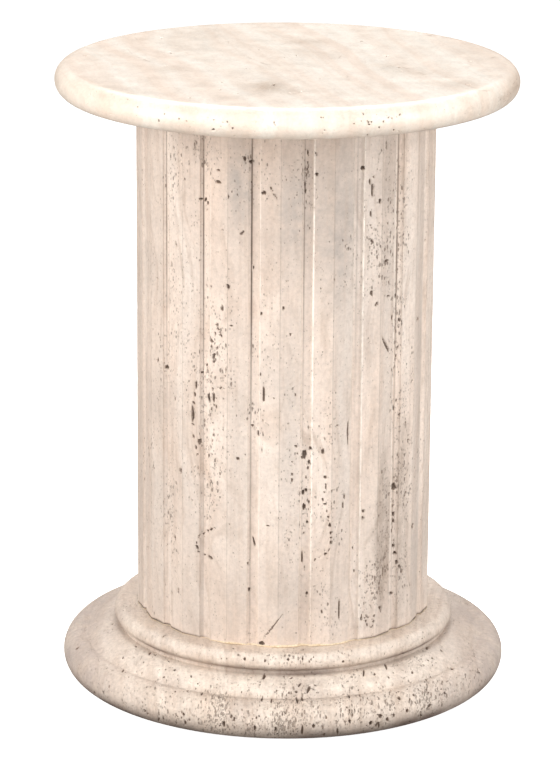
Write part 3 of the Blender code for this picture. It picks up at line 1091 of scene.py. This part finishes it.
        # Painted highlights along the flutes' arrises
        for turn, strength in self.light_lines:
            skin.lay("clean", (Patch(turn, 380, 0.24, 290, strength, 1.6),))
        # A face is a shade greyer from its left edge to its flute
        pitch = 360.0 / self.faces
        into_face = (skin.turn - self.start_turn) % pitch / pitch
        left_half = smooth_step((into_face - 0.005) / 0.01) * smooth_step((0.44 - into_face) / 0.02)
        skin.fields["grey"] += 0.20 * left_half
        # Painted shade at the joint where it has no filler, and a greyer lower part
        above = (skin.height - self.bottom)[:, None] / MM
        sides = smooth_step((np.abs(wrapped(skin.turn + 2.0)) - 26.0) / 10.0)
        skin.fields["grime"] += 1.1 * sides * np.exp(-(above / 1.6) ** 2)
        skin.fields["grey"] += 0.20 * (1.0 - smooth_step((above - 10.0) / 230.0))

    def build(self) -> Piece:
        """Build and dress the shaft."""
        skin = self.smooth_skin()
        rng = np.random.default_rng(97)
        porous_field(skin, seed=31, least=0.10, layers=0.18, clouds=0.14)
        skin.lay("porous", self.porous)
        self.soil(skin)
        skin.cut(self.pits, rng)
        for chain in self.chains:
            skin.cut(chain.pits(rng, radius=self.diameter / 2 / MM), rng)
        clear = (self.bottom / MM + 3.0, (self.bottom + self.height) / MM - 2.0)
        skin.cut(skin.scattered(rng, tries=1000, rows=clear, width=(0.9, 1.7), stretch=2.0), rng)
        skin.wear = self.wear(skin)
        return skin.build("shaft_drum", SHAFT_FINISH.build(), sharp=16)


@dataclass
class MouldedFoot:
    """The foot: flat seat, upper round, small step, swelled slope, crease and large lower round."""

    seat_radius: float = 0.164
    round_radius: float = 0.0092
    step_reach: float = 0.0045
    step_height: float = 0.0033
    slope_run: float = 0.0341
    slope_drop: float = 0.0140
    slope_swell: float = 0.0030
    crease_step: float = 0.0011
    crown_reach: float = 0.0038
    belly_reach: float = 0.0194
    crown_rise: float = 0.0192
    belly_height: float = 0.0198
    hub: float = 0.004                  # radius round the axis where the rows end in a pole
    shaft_edge: float = 0.150           # radius of the seat that the shaft hides
    crease_reach: float = 0.006         # how far from the crease its step is softened
    crease_spread: float = 0.0030       # over how much to either side
    columns: int = 468
    edge_line_turn: float = 21.0        # degrees above the widest line, where a worn line runs round
    edge_line_width: float = 3.0        # degrees
    edge_line_depth: float = 0.16       # mm
    recess_place: float = 35.2          # mm down the profile, in the recess under the upper round
    soiled_from: float = 111.0          # mm down the profile, from where the lower part gets painted shade and soil
    pits: tuple[Pit, ...] = made(Pit, (
        (-6, 47, 12, 3.2), (-50, 46.5, 9, 2.4, -35), (-47.6, 45, 5, 2, -35), (-35.5, 58, 3, 3.4),
        (-37, 70, 2.6, 3.2), (7.7, 66, 11, 3.2, 22), (5.2, 60, 9, 2, 30), (4, 69, 4, 3),
        (26.8, 51, 15, 2.2, 28), (35.8, 48, 14, 2.6, 25), (58, 43.8, 10, 3, 60), (42.2, 66, 6, 2.4, 40),
        (51.4, 59.6, 2.6, 2.8), (53.6, 59.4, 2.8, 3), (60.4, 57, 6, 2, 35), (33.4, 64, 4, 2.6),
        (-27, 81.5, 9, 2, -12), (-22.6, 83, 12, 2.2, -12), (-5.6, 81, 14, 2), (-3, 83, 16, 1.8),
        (4, 83, 17, 2.2), (5.4, 80, 12, 2), (18.6, 82, 12, 2.2, 14), (21.6, 83, 10, 1.8, 14),
        (55.4, 83, 8, 3, 40), (-51, 82, 14, 1.8, -38), (44, 82, 12, 1.6, 30), (31.6, 97.5, 4.6, 4, 20),
        (36.2, 98, 4, 2.8), (33, 112, 4.4, 3.2), (25.2, 112, 5, 5, 10), (22.6, 118, 6, 3.4),
        (24.4, 121, 8, 3, 25), (27.2, 117, 6, 3.2, -20), (29, 114, 4, 3), (17, 113, 4.4, 2.8),
        (7.8, 115.5, 5, 3.2), (5, 120, 15, 2.6), (-1.6, 118, 6, 2.4), (-6.8, 118, 7, 2.8), (-14.6, 116, 8, 2.8),
        (-25, 121, 7, 2.4), (-25.4, 112, 4, 3), (-37, 118, 4, 3), (-33, 125, 8, 2, 20), (14, 124, 12, 2.2, -10),
        (10.6, 128, 7, 2.4), (25, 122.5, 9, 2, -8), (40.2, 113, 3.4, 5), (39.4, 115.6, 5, 1.6),
        (-57, 122.5, 7, 2.6, 25), (-74.5, 95, 5, 6.4, 40), (46, 105.6, 3, 3), (62.6, 103.4, 5.4, 2.6, -20),
        (1.8, 22.5, 3.4, 3), (-12.6, 24, 4, 2.6), (20.2, 28.6, 3, 2.6), (44.4, 36, 7, 3, -50),
        (-45.4, 16, 8, 2), (6.6, 22, 4, 2.2), (-5.8, 24.4, 4, 2), (0, 102, 5, 1.6), (-12, 110, 6, 2.2),
        (11, 107, 5, 2)))
    porous: tuple[Patch, ...] = made(Patch, (
        (0, 113, 38, 16, 1.0), (0, 84, 34, 10, 0.5), (0, 23, 26, 9, 0.42), (4, 62, 30, 14, 0.35),
        (45, 95, 20, 20, 0.5), (180, 110, 40, 18, 0.9), (176, 60, 34, 18, 0.45), (172, 24, 26, 9, 0.5),
        (35, 50, 14, 10, 0.4), (-27, 98, 8, 20, 0.9), (38, 108, 8, 12, 0.8), (-14, 92, 4, 24, 0.5),
        (-62, 100, 16, 22, 0.2)))

    def profile(self) -> tuple[Array, Array]:
        """Profile from the middle of the seat, down the mouldings, to the middle of the underside."""
        step = self.seat_radius + self.step_reach
        crease = step + self.slope_run
        crown = crease + self.crown_reach
        crown_start = math.degrees(math.acos(-self.crown_reach / self.belly_reach))
        upper = arc((crown, self.belly_height), (self.belly_reach, self.crown_rise), crown_start, 0)
        lower_centre = crown + self.belly_reach - self.belly_height
        lower = arc((lower_centre, self.belly_height), (self.belly_height,) * 2, 0, -90)
        crease_height = upper[0, 1] - self.crease_step
        slope_top = crease_height + self.slope_drop
        s = np.linspace(0.0, 1.0, 120)
        length = math.hypot(self.slope_run, self.slope_drop)
        bulge = 4 * self.slope_swell * s * (1 - s) / length
        slope = np.column_stack([step + self.slope_run * s + self.slope_drop * bulge,
                                 slope_top - self.slope_drop * s + self.slope_run * bulge])
        end = -math.degrees(math.acos(self.step_reach / self.round_radius))
        centre = slope_top + self.step_height - self.round_radius * math.sin(math.radians(end))
        ring = arc((self.seat_radius, centre), (self.round_radius,) * 2, 90, end)
        seat = centre + self.round_radius
        inner = np.array([(self.hub, seat), (self.shaft_edge, seat), (self.seat_radius, seat)])
        return dense_line([inner, ring, np.array([ring[-1], slope[0]]), slope, np.array([slope[-1], upper[0]]),
                           upper, lower, np.array([lower[-1], (self.hub, 0.0)])])

    def soil(self, skin: StoneSkin, crease: float) -> None:
        """Lay down painted shade with some dirt under the upper round, in the crease and low down, painted light
        on the front of the mouldings and painted shade on the sides.

        Args:
            skin: the foot's skin.
            crease: place of the crease on it, in mm.
        """
        # Painted shade with some dirt under the upper round, below the small step and low down, and painted shade
        # in the crease in front
        drop = skin.place[:, None]
        facing = np.clip(np.cos(np.radians(skin.turn)), 0.0, 1.0)
        under_round = 0.54 * np.exp(-((drop - self.recess_place) / 3.8) ** 2)
        right_front = 0.12 + 0.88 * np.exp(-(wrapped(skin.turn - 14.0) / 26.0) ** 2)
        below_step = 0.74 * right_front * np.exp(-((drop - self.recess_place - 7.2) / 3.7) ** 2)
        in_crease = 0.26 * np.exp(-((drop - crease - 2.2) / 2.2) ** 2) * np.clip(1.3 * facing - 0.4, 0.0, 1.0)
        low = 0.80 * smooth_step((drop - self.soiled_from) / 20.0)
        dirt = under_round + below_step + in_crease + low
        skin.fields["grime"] += dirt * (1.0 + 0.25 * Ripples(9, 0.05).at(skin.base))
        # Painted light in front, on the slope and on the upper round
        on_slope = smooth_step((drop - self.recess_place - 11.0) / 4.0) * smooth_step((crease - 2.0 - drop) / 8.0)
        on_round = np.exp(-((drop - 20.0) / 5.0) ** 2)
        skin.fields["clean"] += (0.55 * on_slope + 0.40 * on_round) * facing
        # Painted shade: grey towards both sides
        aside = np.abs(skin.base[..., 0]) / 0.226       # in radii of the widest line
        skin.fields["grey"] += 0.75 * smooth_step((aside - 0.55) / 0.4)

    def build(self) -> Piece:
        """Build and dress the foot."""
        line, run = self.profile()

        def run_to(radius: float, height: float) -> float:
            """Distance along the profile to its point nearest to a radius and a height."""
            return float(run[np.argmin(np.hypot(line[:, 0] - radius, line[:, 1] - height))])

        start = self.shaft_edge - self.hub
        seat_end = start + self.seat_radius - self.shaft_edge
        crease = self.seat_radius + self.step_reach + self.slope_run
        ring_end = start + (self.seat_radius - self.shaft_edge) + self.round_radius * math.radians(
            90 + math.degrees(math.acos(self.step_reach / self.round_radius)))
        slope_start = ring_end + self.step_height
        slope_end = run_to(crease, line[np.argmin(np.abs(run - slope_start)), 1] - self.slope_drop)
        crown_start = slope_end + self.crease_step
        wide = run_to(crease + self.crown_reach + self.belly_reach, self.belly_height)
        low = wide + self.belly_height * math.pi / 2
        rows = refined(joined_stops(
            (0, start, 5), (start, seat_end, 5), (seat_end, ring_end, 14), (ring_end, slope_start, 2),
            (slope_start, slope_end, 13), (slope_end, crown_start, 1), (crown_start, wide, 11), (wide, low, 12),
            (low, run[-1], 8)))
        near_crease = np.exp(-((rows - slope_end - 0.5 * self.crease_step) / self.crease_reach) ** 4)
        spread = np.linspace(-self.crease_spread, self.crease_spread, 9)[:, None]

        def softened(values: Array) -> Array:
            """The profile's values at the rows, averaged near the crease over the spread."""
            sharp = np.interp(rows, run, values)
            return sharp + near_crease * (np.interp(rows + spread, run, values).mean(axis=0) - sharp)

        radius, height = (softened(values) for values in line.T)
        skin = StoneSkin(circle_plan(self.columns), radius, height, (rows - start) / MM, Lie.EDGEWISE,
                         seed=8, wave_rise=4.0, wave_size=0.13)
        rng = np.random.default_rng(53)
        porous_field(skin, seed=41, least=0.12, layers=0.22, clouds=0.20)
        skin.lay("porous", self.porous)
        self.soil(skin, (slope_end - start) / MM)
        skin.cut(self.pits, rng)
        skin.cut(skin.scattered(rng, tries=1300, rows=(4.0, 132.0), width=(0.9, 1.4), stretch=1.2), rng)
        from_centre = np.abs(skin.scale - crease - self.crown_reach)
        above = np.degrees(np.arctan2(skin.height - self.belly_height, from_centre))
        line_wear = np.exp(-((above - self.edge_line_turn) / self.edge_line_width) ** 2)
        line_wear[(rows <= crown_start) | (rows >= wide)] = 0.0
        skin.wear = self.edge_line_depth * line_wear[:, None] * np.ones(skin.turn.size)
        return skin.build("foot_stone", FOOT_FINISH.build(), sharp=50)


@dataclass
class JointFiller:
    """Filler pressed into the joint between shaft and foot, thick in front and a trace elsewhere."""

    seat: float = 0.072052
    least: float = 0.15                 # mm, of the bead's radius
    most: float = 1.7                   # mm
    steps: int = 720
    section: int = 8

    def build(self, shaft: FlutedShaft) -> Piece:
        """Build and dress the bead.

        A small circle is carried round the shaft's foot. Its radius is 0.25 mm, and in front about
        1.2 mm, give or take 0.35 mm times the ripples. Its middle lies 0.3 radii inside the shaft's
        plan and 0.95 radii above the seat.

        Args:
            shaft: the shaft whose plan it follows.

        Returns:
            The bead.
        """
        plan = shaft.plan()
        turn = np.degrees(np.arctan2(plan[:, 0], -plan[:, 1]))
        order = np.argsort(turn)
        wanted = np.linspace(-180.0, 180.0, self.steps, endpoint=False)
        x, y = (np.interp(wanted, turn[order], plan[order, axis], period=360.0) for axis in (0, 1))
        ring = np.column_stack([x, y, np.full_like(x, self.seat)])
        front = 1.0 - smooth_step((np.abs(wrapped(wanted - 1.0)) - 20.0) / 14.0)
        thick = 0.25 + front * (0.95 + 0.35 * Ripples(17, 0.02).at(ring))
        thick = np.clip(thick, self.least, self.most) * MM
        out = ring[:, :2] / np.linalg.norm(ring[:, :2], axis=1, keepdims=True)
        angle = np.linspace(0.0, math.tau, self.section, endpoint=False)
        reach = thick[:, None] * np.cos(angle) - 0.3 * thick[:, None]
        lift = thick[:, None] * (0.95 + np.sin(angle))
        points = np.empty((self.steps, self.section, 3))
        points[..., :2] = ring[:, None, :2] + out[:, None, :] * reach[..., None]
        points[..., 2] = self.seat - 0.05 * MM + lift
        return closed_tube("joint_filler", points[:, ::-1], Grout().build())


# The studio


@dataclass(frozen=True)
class SoftBox:
    """A large soft light."""

    name: str
    side: Side
    place: tuple[float, float, float]   # metres; x counts from the middle to the light's side
    size: tuple[float, float]
    power: float
    colour: str
    aim: tuple[float, float, float] = (0.0, 0.0, 0.35)

    def build(self) -> None:
        """Put the light in its place, turned to where it aims."""
        lamp = bpy.data.lights.new(self.name, "AREA")
        lamp.shape = "RECTANGLE"
        lamp.size, lamp.size_y = self.size
        lamp.energy = self.power
        lamp.color = linear(self.colour)[:3]
        item = bpy.data.objects.new(self.name, lamp)
        bpy.context.scene.collection.objects.link(item)
        sign = self.side.value or 1
        spot = Matrix.Translation((self.place[0] * sign, *self.place[1:]))
        gaze = (Matrix.Translation(self.aim).translation - spot.translation).to_track_quat("-Z", "Y")
        item.matrix_world = spot @ gaze.to_matrix().to_4x4()


@dataclass
class Studio:
    """Floor, lights and camera."""

    distance: float = 3.4496            # of the camera from the axis
    eye_height: float = 1.3106
    pitch: float = 16.416               # degrees downwards
    turn_aside: float = 0.0815          # degrees
    roll: float = 0.4363                # degrees
    focal_pixels: float = 3554.65
    sensor: float = 36.0                # mm along the longer side of the picture
    floor_half: float = 14.0
    floor_cells: int = 8
    ambient: float = 0.09
    backdrop: float = 1.0
    boxes: tuple[SoftBox, ...] = (
        SoftBox("left_box", Side.LEFT, (2.3, -1.4, 1.15), (1.6, 2.0), 67.0, "FFFBF7"),
        SoftBox("right_box", Side.RIGHT, (2.3, -1.4, 1.15), (1.6, 2.0), 58.0, "FFFDFB"),
        SoftBox("back_box", Side.MIDDLE, (0.0, 1.6, 2.6), (2.4, 1.6), 63.0, "FFFFFF"),
        SoftBox("upper_box", Side.MIDDLE, (0.0, -2.0, 2.8), (2.6, 1.6), 27.0, "FFFFFF"),
        SoftBox("front_fill", Side.MIDDLE, (0.0, -3.6, 0.8), (2.2, 1.2), 29.0, "FFFFFF"))

    def floor(self) -> Piece:
        """A flat floor on z = 0: a grid of x and y."""
        side = np.linspace(-self.floor_half, self.floor_half, self.floor_cells + 1)
        x, y = np.meshgrid(side, side)
        points = np.stack([x, y, np.zeros_like(x)], -1).reshape(-1, 3)

        def number(row: Array, column: Array) -> Array:
            """Number of a point of the grid."""
            return row * side.size + column

        faces = quads(number, *grid_cells(self.floor_cells, self.floor_cells))
        mesh = mesh_from_arrays("studio_floor", points, faces.ravel(), np.full(len(faces), 4))
        return placed("studio_floor", mesh, MattWhite().build())

    def camera(self) -> None:
        """Make the camera that sees the column as in the picture."""
        lens = bpy.data.cameras.new("camera")
        lens.sensor_fit = "VERTICAL"
        lens.sensor_height = lens.sensor_width = self.sensor
        lens.lens = self.focal_pixels / PICTURE_HEIGHT * self.sensor
        item = bpy.data.objects.new("camera", lens)
        bpy.context.scene.collection.objects.link(item)
        turned = (Matrix.Rotation(math.radians(self.turn_aside), 4, "Z")
                  @ Matrix.Rotation(math.radians(90.0 - self.pitch), 4, "X")
                  @ Matrix.Rotation(math.radians(self.roll), 4, "Z"))
        item.matrix_world = Matrix.Translation((0.0, -self.distance, self.eye_height)) @ turned
        bpy.context.scene.camera = item

    def build(self) -> Piece:
        """Set up the studio and give its floor."""
        scene = bpy.context.scene
        scene.view_settings.view_transform = "Standard"
        world = bpy.data.worlds.new("studio_air")
        world.use_nodes = True
        tree, air = world.node_tree, world.node_tree.nodes["Background"]
        feed(tree, air, {"Color": linear("FFFDFB"), "Strength": self.ambient})
        wall = add_node(tree, "Background", {"Color": linear("FFFFFF"), "Strength": self.backdrop})
        seen = add_node(tree, "LightPath").outputs["Is Camera Ray"]
        both = add_node(tree, "MixShader", {0: seen, 1: air.outputs[0], 2: wall.outputs[0]})
        feed(tree, tree.nodes["World Output"], {"Surface": both.outputs[0]})
        scene.world = world
        for box in self.boxes:
            box.build()
        self.camera()
        return self.floor()


def main() -> None:
    """Build the studio and the pieces."""
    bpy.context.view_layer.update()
    studio = Studio()
    studio.build()
    shaft = FlutedShaft()
    stones: list[tuple[Callable[[], Piece], Optional[str], str]] = [
        (MouldedFoot().build, "moulded_foot", "foot_stone"),
        (shaft.build, "fluted_shaft", "shaft_stone"),
        (RoundTop().build, "round_top", "top_stone"),
        (partial(JointFiller().build, shaft), None, "foot_stone")]
    for build, node, slot in stones:
        piece = build()
        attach(piece, "root")
        if node:
            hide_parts(node)
        mesh = piece.data
        mesh.calc_loop_triangles()
        log.info("%s: %d points, %d faces, %d triangles", piece.name, len(mesh.vertices), len(mesh.polygons),
                 len(mesh.loop_triangles))


if __name__ == "__main__":
    logging.basicConfig(level=logging.INFO, format="%(message)s")
    main()
